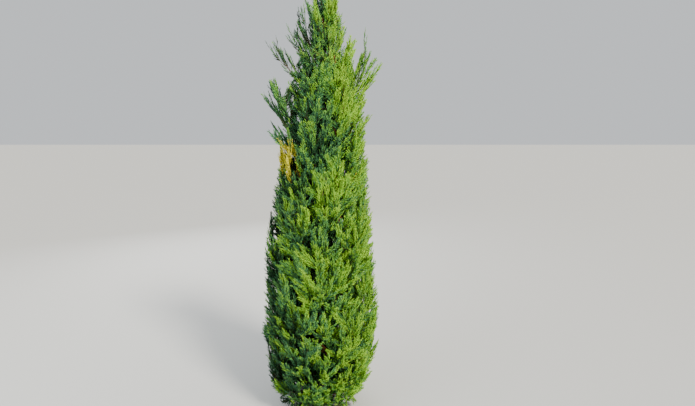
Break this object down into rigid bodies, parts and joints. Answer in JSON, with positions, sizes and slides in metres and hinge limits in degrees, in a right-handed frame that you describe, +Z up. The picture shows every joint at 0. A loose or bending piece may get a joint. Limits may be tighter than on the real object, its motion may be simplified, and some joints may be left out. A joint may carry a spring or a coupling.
{
  "type": "young leyland cypress tree",
  "caption": "Narrow evergreen tree with one leaning trunk, rising boughs, and feathery masses of flat toothed sprays from the ground to a pointed leader.",
  "frame": {"origin": "centre of the flat cut under the trunk, at ground level", "axes": "+Z up along the trunk, +X towards the sunlit flank, +Y away from the side seen in the picture"},
  "size_m": [0.6643, 0.6593, 2.3],
  "materials": {
    "trunk_bark": "rough, shallowly fissured bark",
    "bough_bark": "thin, scaly bark",
    "foliage_lit": "matt scale leaves, yellow green where the sun reaches",
    "foliage_shaded": "matt scale leaves, blue green in the shade"
  },
  "bodies": {
    "root": {"trunk": "trunk_bark", "bough_01": "bough_bark", "bough_02": "bough_bark", "bough_03": "bough_bark", "bough_04": "bough_bark", "bough_05": "bough_bark", "bough_06": "bough_bark", "bough_07": "bough_bark", "bough_08": "bough_bark", "bough_09": "bough_bark", "bough_10": "bough_bark", "bough_11": "bough_bark", "bough_12": "bough_bark", "bough_13": "bough_bark", "bough_14": "bough_bark", "bough_15": "bough_bark", "bough_16": "bough_bark", "bough_17": "bough_bark", "bough_18": "bough_bark", "bough_19": "bough_bark", "bough_20": "bough_bark", "foliage_01": "foliage_shaded", "foliage_02": "foliage_lit", "foliage_03": "foliage_shaded", "foliage_04": "foliage_shaded", "foliage_05": "foliage_lit", "foliage_06": "foliage_shaded", "foliage_07": "foliage_lit", "foliage_08": "foliage_lit", "foliage_09": "foliage_shaded", "foliage_10": "foliage_lit", "foliage_11": "foliage_shaded", "foliage_12": "foliage_lit", "foliage_13": "foliage_lit", "foliage_14": "foliage_shaded", "foliage_15": "foliage_lit", "foliage_16": "foliage_shaded", "foliage_17": "foliage_shaded", "foliage_18": "foliage_lit", "foliage_19": "foliage_shaded", "foliage_20": "foliage_lit", "foliage_21": "foliage_lit", "foliage_22": "foliage_shaded", "foliage_23": "foliage_lit", "foliage_24": "foliage_shaded", "foliage_25": "foliage_shaded", "foliage_26": "foliage_lit", "foliage_27": "foliage_shaded", "foliage_28": "foliage_lit", "foliage_29": "foliage_shaded", "foliage_30": "foliage_shaded", "foliage_31": "foliage_lit", "foliage_32": "foliage_shaded", "foliage_33": "foliage_lit", "foliage_34": "foliage_lit", "foliage_35": "foliage_shaded", "foliage_36": "foliage_lit", "foliage_37": "foliage_shaded", "leader_foliage": "foliage_lit"}
  },
  "joints": []
}
